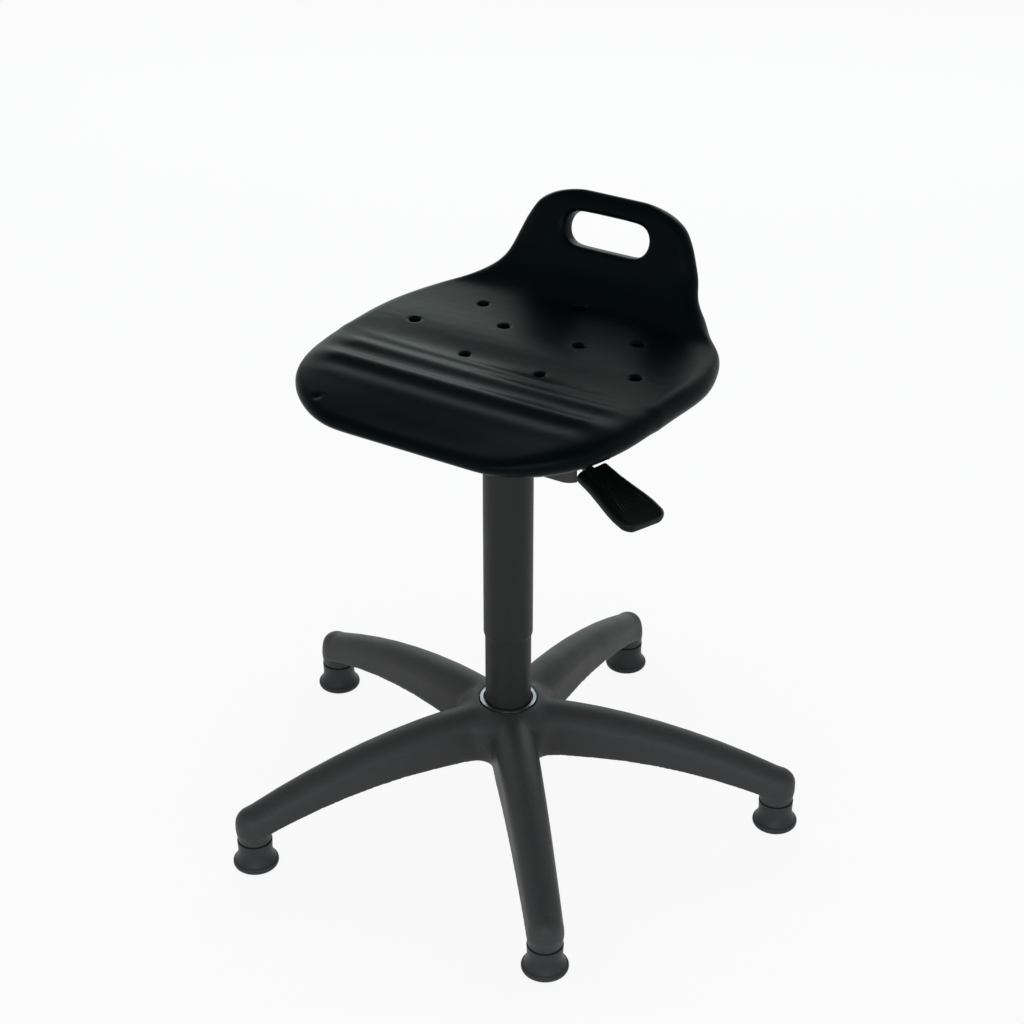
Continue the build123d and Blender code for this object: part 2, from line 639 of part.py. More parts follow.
def seat_screws():
    """Four screws from below with domed heads."""
    high = UNDERSIDE + CORE_THICK - SCREW_SPARE
    low = UNDERSIDE - PLATE
    head = low - HEAD_HEIGHT
    screw = revolved([(0, head), (HEAD_RADIUS - HEAD_BEVEL, head), (HEAD_RADIUS, head + HEAD_BEVEL),
                      (HEAD_RADIUS, low), (SCREW_RADIUS, low), (SCREW_RADIUS, high), (0, high)])
    screw -= Pos(0, 0, head) * extrude(RegularPolygon(HEAD_SOCKET, 6), HEAD_SOCKET_DEPTH)
    return Compound(children=[Pos(x, y, 0) * screw for x, y in screw_places()])


def seat_inserts():
    """Four threaded inserts in the core board."""
    insert = tube(INSERT_RADIUS, SCREW_RADIUS + SEATED, UNDERSIDE, UNDERSIDE + CORE_THICK - SEATED)
    return Compound(children=[Pos(x, y, 0) * insert for x, y in screw_places()])


def seat_core():
    """Board moulded into the seat's underside."""
    board = Pos(0, 0, UNDERSIDE) * extrude(RectangleRounded(CORE_X, CORE_Y, CORE_CORNER), CORE_THICK)
    for x, y in screw_places():
        board -= Pos(x, y, UNDERSIDE + CORE_THICK / 2) * Cylinder(INSERT_RADIUS + SEATED, 2 * CORE_THICK)
    return board


def seat_section(plane, half_width, edge, edge_round, depth, flat):
    """Slab section: dished top, half-round edges, slanted lower sides and a flat underside."""
    corner = half_width - edge_round
    lean = edge_round * cos(radians(45))
    rim = edge + edge_round
    if abs(rim) > FLAT_TOP:
        top = ThreePointArc((-corner, rim), (0, 0), (corner, rim))
    else:
        top = Line((-corner, rim), (corner, rim))
    edges = [
        top,
        ThreePointArc((corner, rim), (corner + lean, edge + lean), (half_width, edge)),
        ThreePointArc((half_width, edge), (corner + lean, edge - lean), (corner, edge - edge_round)),
        Line((corner, edge - edge_round), (flat, -depth)),
        Line((flat, -depth), (-flat, -depth)),
        Line((-flat, -depth), (-corner, edge - edge_round)),
        ThreePointArc((-corner, edge - edge_round), (-corner - lean, edge - lean), (-half_width, edge)),
        ThreePointArc((-half_width, edge), (-corner - lean, edge + lean), (-corner, rim)),
    ]
    return plane * make_face(edges)


def level_plane(y, z):
    return Plane(origin=(0, y, z), x_dir=(1, 0, 0), z_dir=(0, -1, 0))


def bend_plane(angle):
    """Section plane across the bend, turned back from the pan by the angle."""
    y = BEND_START + BEND_RADIUS * sin(radians(angle))
    z = BEND_LEVEL + BEND_RADIUS * (1 - cos(radians(angle)))
    return Plane(origin=(0, y, z), x_dir=(1, 0, 0), z_dir=(0, -cos(radians(angle)), -sin(radians(angle))))


def back_plane(rise, sink=0.0):
    """Section plane across the back, at a distance above the bend and sunk behind the front face."""
    turn = 90 - RECLINE
    start = bend_plane(turn)
    up = Vector(0, sin(radians(RECLINE)), cos(radians(RECLINE)))
    behind = Vector(0, cos(radians(RECLINE)), -sin(radians(RECLINE)))
    return Plane(origin=start.origin + up * rise + behind * sink, x_dir=(1, 0, 0), z_dir=start.z_dir)


def seat_sections():
    """Sections from the front nose over the ridges and the pan, round the bend and up the back."""
    side = SEAT_WIDTH / 2
    flat = CORE_X / 2 + CORE_RIM
    sections = []
    # y, top height, half width, height and radius of the edge, height and half width of the underside
    level = (
        (-190.0, 525.2, side - 110, 524.5, 2.5, 521.0, flat - 68),
        (-186.5, 528.8, side - 87, 525.5, 6.5, 516.5, flat - 50),
        (-177.0, 533.2, side - 67, 526.8, 9.5, 512.0, flat - 37),
        (-157.0, 539.0, side - 41, 528.5, 12.2, 506.0, flat - 20),
        (-125.0, 544.8, side - 17, 530.0, EDGE_ROUND, UNDERSIDE, flat - 4),
        (-96.0, RIDGE_FRONT - 1.3, side - 7, EDGE_LEVEL, EDGE_ROUND, UNDERSIDE, flat),
        (-76.0, RIDGE_FRONT, side - 3, EDGE_LEVEL, EDGE_ROUND, UNDERSIDE, flat),
        (-57.0, RIDGE_VALLEY, side - 1, EDGE_LEVEL, EDGE_ROUND, UNDERSIDE, flat),
        (-45.0, RIDGE_BACK, side, EDGE_LEVEL, EDGE_ROUND, UNDERSIDE, flat),
        (-28.0, PAN + 1, side, EDGE_LEVEL - 0.5, EDGE_ROUND, UNDERSIDE, flat),
        (20.0, PAN, side + 1, EDGE_LEVEL - 2, EDGE_ROUND, UNDERSIDE, flat),
        (75.0, PAN, side - 1, EDGE_LEVEL - 4.8, EDGE_ROUND, UNDERSIDE, flat),
        (112.0, PAN + 0.8, side - 11, EDGE_LEVEL - 5, EDGE_ROUND, UNDERSIDE, flat),
    )
    for y, top, half_width, edge, edge_round, under, low_half in level:
        sections.append(seat_section(level_plane(y, top), half_width, edge - top, edge_round, top - under, low_half))
    turn = 90 - RECLINE
    # share of the bend, half width, edge level under the face, edge radius, depth, half width of the underside
    bend = (
        (0.05, side - 24, -15.2, EDGE_ROUND, 41.0, flat - 8),
        (0.3, side - 43, -12.0, EDGE_ROUND, 36.0, flat - 22),
        (0.6, side - 62, -10.0, EDGE_ROUND - 0.5, 31.0, flat - 42),
        (0.85, side - 75, -9.0, EDGE_ROUND - 1, 28.0, flat - 55),
    )
    for share, half_width, edge, edge_round, depth, low_half in bend:
        sections.append(seat_section(bend_plane(turn * share), half_width, edge, edge_round, depth, low_half))
    # share of the rise, half width, edge radius, how far the section is sunk behind the face, thickness
    back = (
        (0.05, 113.0, 12.8, 0.0, BACK_THICK),
        (0.23, 108.0, 12.6, 0.0, BACK_THICK),
        (0.42, 103.0, 12.4, 0.0, BACK_THICK),
        (0.62, 95.0, 12.0, 0.4, BACK_THICK - 1),
        (0.8, 82.0, 10.8, 1.6, BACK_THICK - 3.6),
        (0.91, 67.0, 8.2, 4.4, BACK_THICK - 9),
        (0.97, 52.0, 5.0, 7.8, BACK_THICK - 15.6),
        (1.0, 37.0, 2.4, 10.6, BACK_THICK - 21.2),
    )
    for share, half_width, edge_round, sink, thick in back:
        plane = back_plane(BACK_RISE * share, sink)
        flat_half = half_width - edge_round - 3
        sections.append(seat_section(plane, half_width, -thick / 2 + 1, edge_round, thick, flat_half))
    return sections


def vent_places():
    pairs = [(side * x, y) for x, y in VENTS for side in (-1, 1)]
    return pairs + [(0.0, VENT_MIDDLE)]


def vent_hole(x, y):
    """Blind vent hole with a flared mouth, down to the core board."""
    low = UNDERSIDE + CORE_THICK
    top = PAN + VENT_REACH
    over = top + EDGE_ROUND
    wide = VENT_RADIUS + VENT_FLARE
    return Pos(x, y, 0) * revolved([(0, low), (VENT_RADIUS, low), (VENT_RADIUS, top - VENT_MOUTH), (wide, top),
                                    (wide, over), (0, over)])


def seat_shell():
    """Moulded seat: one lofted slab from the nose to the carry handle, with slot, vents and core pocket."""
    shell = loft(seat_sections())
    slot_plane = back_plane(SLOT_CENTRE)
    through = Plane(origin=slot_plane.origin, x_dir=(1, 0, 0), z_dir=slot_plane.y_dir)
    slot = RectangleRounded(SLOT_WIDTH, SLOT_HEIGHT, SLOT_CORNER)
    shell -= extrude(through * slot, 3 * BACK_THICK, both=True)
    for x, y in vent_places():
        shell -= vent_hole(x, y)
    pocket = RectangleRounded(CORE_X + 2 * SEATED, CORE_Y + 2 * SEATED, CORE_CORNER)
    shell -= Pos(0, 0, UNDERSIDE - SKIRT) * extrude(pocket, SKIRT + CORE_THICK)
    return shell


def build():
    nodes = {
        "star_base": star_base(),
        "hub_sleeve": hub_sleeve(),
        "column_tube": column_tube(),
        "guide_bush": guide_bush(),
        "bearing_lower_washer": bearing_lower_washer(),
        "bearing_cage": bearing_cage(),
        "bearing_upper_washer": bearing_upper_washer(),
        "rubber_buffer": rubber_buffer(),
        "piston_rod": piston_rod(),
        "piston": piston(),
        "rod_washer": rod_washer(),
        "rod_clip": rod_clip(),
        "gas_cylinder": gas_cylinder(),
        "rod_guide": rod_guide(),
        "release_pin": release_pin(),
        "cover_tube": cover_tube(),
        "taper_socket": taper_socket(),
        "lever_channel": lever_channel(),
        "lever_pivot_pin": lever_pivot_pin(),
        "lever_rod": lever_rod(),
        "lever_handle": lever_handle(),
        "seat_plate": seat_plate(),
        "seat_screws": seat_screws(),
        "seat_inserts": seat_inserts(),
        "seat_core": seat_core(),
        "seat_shell": seat_shell(),
    }
    foot = glide_foot()
    stem = glide_stem()
    for index in range(ARM_COUNT):
        nodes[f"glide_foot_{index + 1}"] = at_glide(index, foot)
        nodes[f"glide_stem_{index + 1}"] = at_glide(index, stem)
    return nodes


os.makedirs("parts", exist_ok=True)
for name, solid in build().items():
    export_step(solid, f"parts/{name}.step")
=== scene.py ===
"""Looks of the swivel work stool: moulded seat, gas column, release lever and five-arm base on glides.

Metres, +Z up, origin on the floor at the column's axis. The sitter faces -Y, the lever is at +X.
"""
import bpy
import bmesh
import json
import numpy as np
from math import cos, radians, sin, tan
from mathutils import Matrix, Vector
from mathutils.bvhtree import BVHTree


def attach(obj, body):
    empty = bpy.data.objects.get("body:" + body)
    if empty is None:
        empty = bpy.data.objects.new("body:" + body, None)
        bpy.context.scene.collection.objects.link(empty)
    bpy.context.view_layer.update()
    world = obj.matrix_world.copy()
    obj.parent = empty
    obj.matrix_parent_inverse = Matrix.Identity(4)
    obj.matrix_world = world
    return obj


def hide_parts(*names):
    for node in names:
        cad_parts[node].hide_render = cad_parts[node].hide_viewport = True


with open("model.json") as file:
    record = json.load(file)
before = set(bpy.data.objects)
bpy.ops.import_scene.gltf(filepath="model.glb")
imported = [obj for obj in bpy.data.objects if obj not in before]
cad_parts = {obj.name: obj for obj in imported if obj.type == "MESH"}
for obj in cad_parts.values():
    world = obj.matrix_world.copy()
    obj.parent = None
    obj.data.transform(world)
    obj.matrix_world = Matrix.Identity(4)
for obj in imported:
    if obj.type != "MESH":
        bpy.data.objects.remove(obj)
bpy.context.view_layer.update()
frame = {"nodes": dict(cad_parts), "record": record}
scene = bpy.context.scene

# Camera of the photograph
CAMERA_PLACE = (1.07676, -1.70327, 1.49130)
CAMERA_TARGET = (0.0, 0.0, 0.3637)
CAMERA_LENS = 77.36
CAMERA_SENSOR = 36.0
CAMERA_SHIFT = (0.0037, -0.0011)
CAMERA_NEAR = 0.05

# Studio
FLOOR_HALF = 14.0
FLOOR_TONE = (0.93, 0.93, 0.93, 1.0)
FLOOR_ROUGH = 0.9
FLOOR_WHITE = 0.9           # share of plain white that the camera and reflections see in the floor
FLOOR_GAP = 0.0004          # keeps the floor clear of the glides' flat undersides
WORLD_TONE = (0.98, 0.99, 1.0, 1.0)
WORLD_LOW = 1.0             # strength near the horizon
WORLD_HIGH = 0.35           # strength overhead
WORLD_RISE = (0.2, 0.75)    # upward parts of the direction between which the strength changes

# Softening
MERGE_GAP = 1e-6
RELAX_STEP = 0.5            # share of the way to its neighbours' mean that a vertex moves in a round

# Line of the seat's front
SEAT_VOXEL = 0.0018
SEAT_SMOOTHING = 6
PAN_LEVEL = 0.5406
REDRAWN = (0.022, 0.042)    # distances in front of the column where the new line starts and where it is full
FRONT_RISE = 0.0031         # rise of the line from the pan to the front
FRONT_REACH = 0.080         # distance over which it rises
NOSE_START = -0.092         # where the line starts to fall to the nose
NOSE_LENGTH = 0.098
NOSE_DROP = 0.0195
NOSE_POWER = 1.93
RIDGES = ((-0.056, 0.0026, 0.010),      # place, height and spread of each cross ridge
          (-0.092, 0.0042, 0.011),
          (-0.123, 0.0010, 0.011))
RIDGE_SPAN = (0.80, 0.99)   # shares of the half width between which the ridges fade
RIPPLE_REACH = 0.016        # spread of the smoothing that takes the solid's own ridges out
KERNEL_REACH = 3.0          # the smoothing runs this many spreads to each side
STATIONS = 100              # places along the front at which the solid is measured
COLUMNS = 41                # places across it
GRID_HALF = 0.165
RAY_HEIGHT = 0.1            # the measuring rays start this far over the pan
RIM_LEVEL = 0.527           # the line moves nothing under this height
RIM_BLEND = 0.010

# Soft places of the seat; four values are where a softening starts, is full, starts to fade and ends
NOSE_RIM = (0.130, 0.155)   # the front's rim is softened from the first distance, fully past the second
SIDE_RIM = (0.74, 0.90)     # the same at the sides, as shares of the half width
RIM_LOW = (0.500, 0.508)    # the rim is softened over the first height, fully over the second
RIM_ROUNDS = 90
BEND_ALONG = (0.080, 0.110, 0.175, 0.185)
BEND_LEVEL = (0.533, 0.539, 0.580, 0.600)
BEND_SIDES = (0.070, 0.100)  # the bend is softened between the sides, not on their edges
BEND_ROUNDS = 90
BACK_SIDES = (0.082, 0.100)
BACK_DEPTH = (0.100, 0.130)
BACK_LEVEL = (0.545, 0.560, 0.615, 0.632)
BACK_ROUNDS = 70
SLOT_MIDDLE = (0.0, 0.19032, 0.60865)
SLOT_HALF = (0.051, 0.01825)
SLOT_CORNER = 0.0165
SLOT_SOFT = (0.005, 0.014)  # the slot's rim is softened fully to the first distance, and not past the second
SLOT_ROUNDS = 45
RECLINE = 16.4              # lean of the back

# Marks in the seat
BEND_VENT = (0.0, 0.1407)
BEND_VENT_RADIUS = (0.0048, 0.0066)
BEND_VENT_DEPTH = 0.012
BEND_VENT_SLANT = 40.0
BEND_VENT_FLOOR = PAN_LEVEL - 0.004     # the vent presses nothing under this height
VENTS = ((0.0445, -0.012), (0.1326, 0.0265), (0.045, 0.0637), (0.0947, 0.1003), BEND_VENT)
VENT_CLEAR = (0.013, 0.022)  # the bend isn't softened within the first distance of a vent's axis
DIMPLE_PLACE = (-0.117, -0.166)
DIMPLE_DEPTH = 0.0018
DIMPLE_SPREAD = 0.0040

# Star base
BASE_VOXEL = 0.001
BASE_ROUNDS = 30
FACING_DOWN = -0.7          # faces whose normal points down more than this keep their level
HUB_RING = (0.032, 0.038, 0.062, 0.090)     # radii between which the blends round the hub are softened
HUB_ROUNDS = 90

# Lever paddle
LEVER_TURN = -21.0
LEVER_DROP = 12.7
LEVER_BEND = 0.060          # distance from the column's axis at which the lever bends down
LEVER_LEVEL = 0.4863
PADDLE_START = 0.138
PADDLE_LENGTH = 0.088
PADDLE_LINE = ((0.0, 0.0196, 0.0072),   # share of the length, half width and half thickness
               (0.25, 0.0207, 0.0072),
               (0.45, 0.0232, 0.0070),
               (0.62, 0.0256, 0.0066),
               (0.75, 0.0268, 0.0060),
               (1.0, 0.0262, 0.0050))
PADDLE_ROUND = 0.011        # rounding of the tip's corners in plan
PADDLE_EDGE = 0.0022        # rounding of the tip's edges
PADDLE_HOLLOW = 0.0013
PADDLE_RINGS = 88
RING_CROWDING = 1.5         # over 1, the rings stand closer towards the tip
TOP_STEPS = 84
SIDE_STEPS = 8
UNDER_STEPS = 28
RIB_COUNT = 9
RIB_HEIGHT = 0.00055
RIB_SHARE = 0.80            # share of the width that the ribs cover
RIB_RUN = (0.10, 0.16, 0.70, 0.80)


# Helpers

def link(name, mesh):
    piece = bpy.data.objects.new(name, mesh)
    scene.collection.objects.link(piece)
    return piece


def softened_copy(node, name, voxel, smoothing):
    """New piece from a node's shape, remeshed evenly with its edges softened."""
    mesh = frame["nodes"][node].data.copy()
    mesh.name = name
    mesh.materials.clear()
    shape = bmesh.new()
    shape.from_mesh(mesh)
    bmesh.ops.remove_doubles(shape, verts=shape.verts, dist=MERGE_GAP)
    shape.to_mesh(mesh)
    shape.free()
    rough = link(name + "_rough", mesh)
    remesh = rough.modifiers.new("even", "REMESH")
    remesh.mode = "VOXEL"
    remesh.voxel_size = voxel
    remesh.use_smooth_shade = True
    smooth = rough.modifiers.new("soft", "SMOOTH")
    smooth.factor = RELAX_STEP
    smooth.iterations = smoothing
    bpy.context.view_layer.update()
    even = bpy.data.meshes.new_from_object(rough.evaluated_get(bpy.context.evaluated_depsgraph_get()))
    even.name = name
    bpy.data.objects.remove(rough)
    return link(name, even)


def ramp(value, start, end):
    """Smooth step from 0 at start to 1 at end."""
    share = np.clip((value - start) / (end - start), 0.0, 1.0)
    return share * share * (3.0 - 2.0 * share)


def window(value, start, full, fade, end):
    """Share that rises from start to full and falls from fade to end."""
    return ramp(value, start, full) * (1.0 - ramp(value, fade, end))


def read_points(mesh):
    points = np.empty(3 * len(mesh.vertices))
    mesh.vertices.foreach_get("co", points)
    return points.reshape(-1, 3)


def write_points(mesh, points):
    mesh.vertices.foreach_set("co", points.ravel())
    mesh.update()


def surface_tree(mesh):
    """Search tree of a mesh's faces."""
    shape = bmesh.new()
    shape.from_mesh(mesh)
    tree = BVHTree.FromBMesh(shape)
    shape.free()
    return tree


def neighbour_mean(mesh):
    """Function that gives the mean place of each vertex's neighbours."""
    count = len(mesh.vertices)
    ends = np.empty(2 * len(mesh.edges), dtype=np.int32)
    mesh.edges.foreach_get("vertices", ends)
    first, second = ends.reshape(-1, 2).T
    degree = np.bincount(first, minlength=count) + np.bincount(second, minlength=count)

    def mean(points):
        sums = []
        for axis in range(3):
            onto_first = np.bincount(first, points[second, axis], count)
            onto_second = np.bincount(second, points[first, axis], count)
            sums.append(onto_first + onto_second)
        return np.stack(sums, axis=1) / degree[:, None]
    return mean


def relax(mesh, points, weight, rounds, kept=None, level=None):
    """Soften the weighted places, which rounds their edges; kept vertices stay on their level."""
    mean = neighbour_mean(mesh)
    for _ in range(rounds):
        points += RELAX_STEP * weight[:, None] * (mean(points) - points)
        if kept is not None:
            points[kept, 2] = level


# Materials

def new_material(name):
    material = bpy.data.materials.new(name)
    material.use_nodes = True
    nodes = material.node_tree.nodes
    return material, nodes, material.node_tree.links, nodes["Principled BSDF"]


def noise(nodes, links, scale, detail, roughness=0.55):
    """Noise in the object's own coordinates."""
    place = nodes.new("ShaderNodeTexCoord")
    texture = nodes.new("ShaderNodeTexNoise")
    texture.inputs["Scale"].default_value = scale
    texture.inputs["Detail"].default_value = detail
    texture.inputs["Roughness"].default_value = roughness
    links.new(place.outputs["Object"], texture.inputs["Vector"])
    return texture.outputs["Fac"]


def streaks(nodes, links, stretch, detail):
    """Noise that is drawn out along the axes with a small stretch value."""
    place = nodes.new("ShaderNodeTexCoord")
    mapping = nodes.new("ShaderNodeMapping")
    mapping.inputs["Scale"].default_value = stretch
    links.new(place.outputs["Object"], mapping.inputs["Vector"])
    texture = nodes.new("ShaderNodeTexNoise")
    texture.inputs["Scale"].default_value = 1.0
    texture.inputs["Detail"].default_value = detail
    links.new(mapping.outputs["Vector"], texture.inputs["Vector"])
    return texture.outputs["Fac"]


def spread(nodes, links, source, low, high, start=0.3, end=0.7):
    """Value that runs from low to high as the source runs from start to end."""
    ranged = nodes.new("ShaderNodeMapRange")
    ranged.inputs["From Min"].default_value = start
    ranged.inputs["From Max"].default_value = end
    ranged.inputs["To Min"].default_value = low
    ranged.inputs["To Max"].default_value = high
    links.new(source, ranged.inputs["Value"])
    return ranged.outputs["Result"]


def tint(nodes, links, source, dark, light, start=0.3, end=0.7):
    """Colour that runs from dark to light as the source runs from start to end."""
    colours = nodes.new("ShaderNodeValToRGB")
    colours.color_ramp.elements[0].position = start
    colours.color_ramp.elements[1].position = end
    colours.color_ramp.elements[0].color = (*dark, 1.0)
    colours.color_ramp.elements[1].color = (*light, 1.0)
    links.new(source, colours.inputs["Fac"])
    return colours.outputs["Color"]


def bump(nodes, links, height, distance, below=None):
    """Relief from a height, on top of another relief where one is given."""
    node = nodes.new("ShaderNodeBump")
    node.inputs["Distance"].default_value = distance
    node.inputs["Strength"].default_value = 1.0
    links.new(height, node.inputs["Height"])
    if below is not None:
        links.new(below, node.inputs["Normal"])
    return node.outputs["Normal"]


def moulded_plastic(name, dark, light, rough, grain_scale, grain_depth, specular):
    """Grained plastic, rubber or paint: fine pebble grain in tone and relief, and slightly uneven gloss."""
    material, nodes, links, shader = new_material(name)
    cloud = noise(nodes, links, scale=22.0, detail=4.0)
    grain = noise(nodes, links, scale=grain_scale, detail=2.0, roughness=0.6)
    links.new(tint(nodes, links, grain, dark, light), shader.inputs["Base Color"])
    gloss = spread(nodes, links, cloud, low=rough - 0.04, high=rough + 0.05)
    links.new(gloss, shader.inputs["Roughness"])
    links.new(bump(nodes, links, grain, grain_depth), shader.inputs["Normal"])
    shader.inputs["Specular IOR Level"].default_value = specular
    return material


def seat_foam():
    """Satin skin of moulded foam: near black with a cool cast, faint pores and a slightly uneven sheen."""
    material, nodes, links, shader = new_material("seat_foam")
    cloud = noise(nodes, links, scale=9.0, detail=4.0)
    pores = noise(nodes, links, scale=650.0, detail=2.0, roughness=0.5)
    waves = noise(nodes, links, scale=60.0, detail=2.0, roughness=0.5)
    skin = tint(nodes, links, cloud, dark=(0.0004, 0.0022, 0.0028), light=(0.0007, 0.0029, 0.0036))
    links.new(skin, shader.inputs["Base Color"])
    links.new(spread(nodes, links, cloud, low=0.32, high=0.36), shader.inputs["Roughness"])
    wavy = bump(nodes, links, waves, distance=0.0002)
    links.new(bump(nodes, links, pores, distance=0.00006, below=wavy), shader.inputs["Normal"])
    shader.inputs["Specular IOR Level"].default_value = 0.035
    return material


def brushed_metal(name, dark, light, rough):
    """Metal with fine turning marks round the Z axis and a cloudy plated tone."""
    material, nodes, links, shader = new_material(name)
    marks = streaks(nodes, links, stretch=(60.0, 60.0, 2600.0), detail=3.0)
    cloud = noise(nodes, links, scale=90.0, detail=4.0)
    links.new(tint(nodes, links, cloud, dark, light), shader.inputs["Base Color"])
    gloss = spread(nodes, links, marks, low=rough - 0.06, high=rough + 0.08)
    links.new(gloss, shader.inputs["Roughness"])
    links.new(bump(nodes, links, marks, distance=0.00004), shader.inputs["Normal"])
    shader.inputs["Metallic"].default_value = 1.0
    return material


def plywood():
    """Birch ply: long fibres across the board and soft bands of tone."""
    material, nodes, links, shader = new_material("core_wood")
    fibre = streaks(nodes, links, stretch=(9.0, 190.0, 190.0), detail=5.0)
    grain = tint(nodes, links, fibre, dark=(0.36, 0.24, 0.13), light=(0.62, 0.46, 0.29))
    links.new(grain, shader.inputs["Base Color"])
    links.new(spread(nodes, links, fibre, low=0.5, high=0.66), shader.inputs["Roughness"])
    links.new(bump(nodes, links, fibre, distance=0.0002), shader.inputs["Normal"])
    return material


def slot_materials():
    """One material for each of the record's slots."""
    return {
        "base_nylon": moulded_plastic(
            "base_nylon", dark=(0.031, 0.0312, 0.0319), light=(0.043, 0.0433, 0.0442),
            rough=0.45, grain_scale=900.0, grain_depth=0.0003, specular=0.16),
        "glide_plastic": moulded_plastic(
            "glide_plastic", dark=(0.028, 0.0295, 0.0305), light=(0.036, 0.038, 0.039),
            rough=0.42, grain_scale=900.0, grain_depth=0.00008, specular=0.12),
        "column_paint": moulded_plastic(
            "column_paint", dark=(0.0155, 0.0157, 0.0155), light=(0.021, 0.0212, 0.021),
            rough=0.5, grain_scale=1100.0, grain_depth=0.00012, specular=0.12),
        "cover_plastic": moulded_plastic(
            "cover_plastic", dark=(0.0165, 0.0168, 0.0168), light=(0.022, 0.0223, 0.0223),
            rough=0.46, grain_scale=1000.0, grain_depth=0.0001, specular=0.12),
        "seat_foam": seat_foam(),
        "lever_plastic": moulded_plastic(
            "lever_plastic", dark=(0.0025, 0.0034, 0.0036), light=(0.0045, 0.0056, 0.0058),
            rough=0.4, grain_scale=900.0, grain_depth=0.00008, specular=0.1),
        "black_steel": moulded_plastic(
            "black_steel", dark=(0.008, 0.008, 0.0085), light=(0.014, 0.014, 0.0145),
            rough=0.42, grain_scale=800.0, grain_depth=0.00015, specular=0.4),
        "zinc_steel": brushed_metal(
            "zinc_steel", dark=(0.26, 0.27, 0.285), light=(0.38, 0.39, 0.405), rough=0.36),
        "bare_steel": brushed_metal(
            "bare_steel", dark=(0.48, 0.48, 0.49), light=(0.60, 0.60, 0.61), rough=0.26),
        "bush_plastic": moulded_plastic(
            "bush_plastic", dark=(0.66, 0.65, 0.60), light=(0.76, 0.75, 0.71),
            rough=0.45, grain_scale=500.0, grain_depth=0.0001, specular=0.5),
        "buffer_rubber": moulded_plastic(
            "buffer_rubber", dark=(0.012, 0.012, 0.012), light=(0.024, 0.024, 0.024),
            rough=0.7, grain_scale=420.0, grain_depth=0.0002, specular=0.4),
        "core_wood": plywood(),
    }


def finish_nodes(materials):
    """Every CAD node takes the material of its slot."""
    for row in frame["record"]["subparts"]:
        node = frame["nodes"][row["node"]]
        node.data.materials.clear()
        node.data.materials.append(materials[row["material_slot"]])


# Seat

def front_stations(points):
    """Places along the front of the seat, from the nose to where the new line starts."""
    return np.linspace(points[:, 1].min() + 2.0 * SEAT_VOXEL, -REDRAWN[0], STATIONS)


def side_share(points, along):
    """How far each vertex lies towards the seat's side, as a share of the half width there."""
    step = along[1] - along[0]
    rows = [np.abs(points[:, 1] - y) < step for y in along]
    half_widths = [np.abs(points[row, 0]).max() for row in rows]
    return np.abs(points[:, 0]) / np.interp(points[:, 1], along, half_widths)


def seat_top(mesh, across, along):
    """Heights of the seat's top over a grid of places."""
    tree = surface_tree(mesh)
    above = PAN_LEVEL + RAY_HEIGHT
    down = Vector((0.0, 0.0, -1.0))
    heights = np.full((len(across), len(along)), np.nan)
    for row, x in enumerate(across):
        for column, y in enumerate(along):
            hit = tree.ray_cast(Vector((x, y, above)), down)[0]
            if hit is not None:
                heights[row, column] = hit.z
        seen = np.isfinite(heights[row])
        heights[row] = np.interp(along, along[seen], heights[row, seen])
    return heights


def smoothed_rows(heights, step):
    """The heights without their short waves."""
    reach = int(KERNEL_REACH * RIPPLE_REACH / step)
    kernel = np.exp(-0.5 * (np.arange(-reach, reach + 1) * step / RIPPLE_REACH) ** 2)
    kernel /= kernel.sum()
    padded = np.pad(heights, ((0, 0), (reach, reach)), mode="reflect", reflect_type="odd")
    return np.stack([np.convolve(row, kernel, mode="valid") for row in padded])


def grid_place(values, grid):
    """Cell of an even grid that each value falls in, and its share of the way across the cell."""
    last_cell = len(grid) - 1.001
    place = np.clip((values - grid[0]) / (grid[1] - grid[0]), 0.0, last_cell)
    cell = place.astype(int)
    return cell, place - cell


def on_grid(x, y, across, along, values):
    """Values at the given places, mixed from the corners of each place's cell."""
    row, over = grid_place(x, across)
    column, up = grid_place(y, along)
    low = values[row, column] * (1.0 - up) + values[row, column + 1] * up
    high = values[row + 1, column] * (1.0 - up) + values[row + 1, column + 1] * up
    return low * (1.0 - over) + high * over


def draw_seat_line(mesh, points):
    """Draw the seat's line anew from the pan over the ridges to the nose."""
    x, y, z = points.T
    along = front_stations(points)
    reach = np.clip(side_share(points, along), 0.0, 1.0)
    across = np.linspace(-GRID_HALF, GRID_HALF, COLUMNS)
    heights = seat_top(mesh, across, along)
    smooth = smoothed_rows(heights, along[1] - along[0])
    ripple = on_grid(x, y, across, along, heights - smooth)
    middle = np.interp(y, along, smooth[COLUMNS // 2])
    drop = NOSE_DROP * np.clip((NOSE_START - y) / NOSE_LENGTH, 0.0, 1.0) ** NOSE_POWER
    line = PAN_LEVEL + FRONT_RISE * ramp(-y, 0.0, FRONT_REACH) - drop
    relief = -ripple
    for place, height, width in RIDGES:
        relief += height * np.exp(-((y - place) / width) ** 2)
    move = (line - middle) * (1.0 - reach ** 2) + relief * (1.0 - ramp(reach, *RIDGE_SPAN))
    on_top = ramp(z, RIM_LEVEL, RIM_LEVEL + RIM_BLEND)
    points[:, 2] += move * ramp(-y, *REDRAWN) * on_top


def slot_distance(points):
    """Distance from the outline of the carry slot, seen square to the back."""
    lean = radians(RECLINE)
    x, y, z = (points - SLOT_MIDDLE).T
    across = np.abs(x) - (SLOT_HALF[0] - SLOT_CORNER)
    up = np.abs(y * sin(lean) + z * cos(lean)) - (SLOT_HALF[1] - SLOT_CORNER)
    outside = np.hypot(np.maximum(across, 0.0), np.maximum(up, 0.0))
    inside = np.minimum(np.maximum(across, up), 0.0)
    return np.abs(outside + inside - SLOT_CORNER)


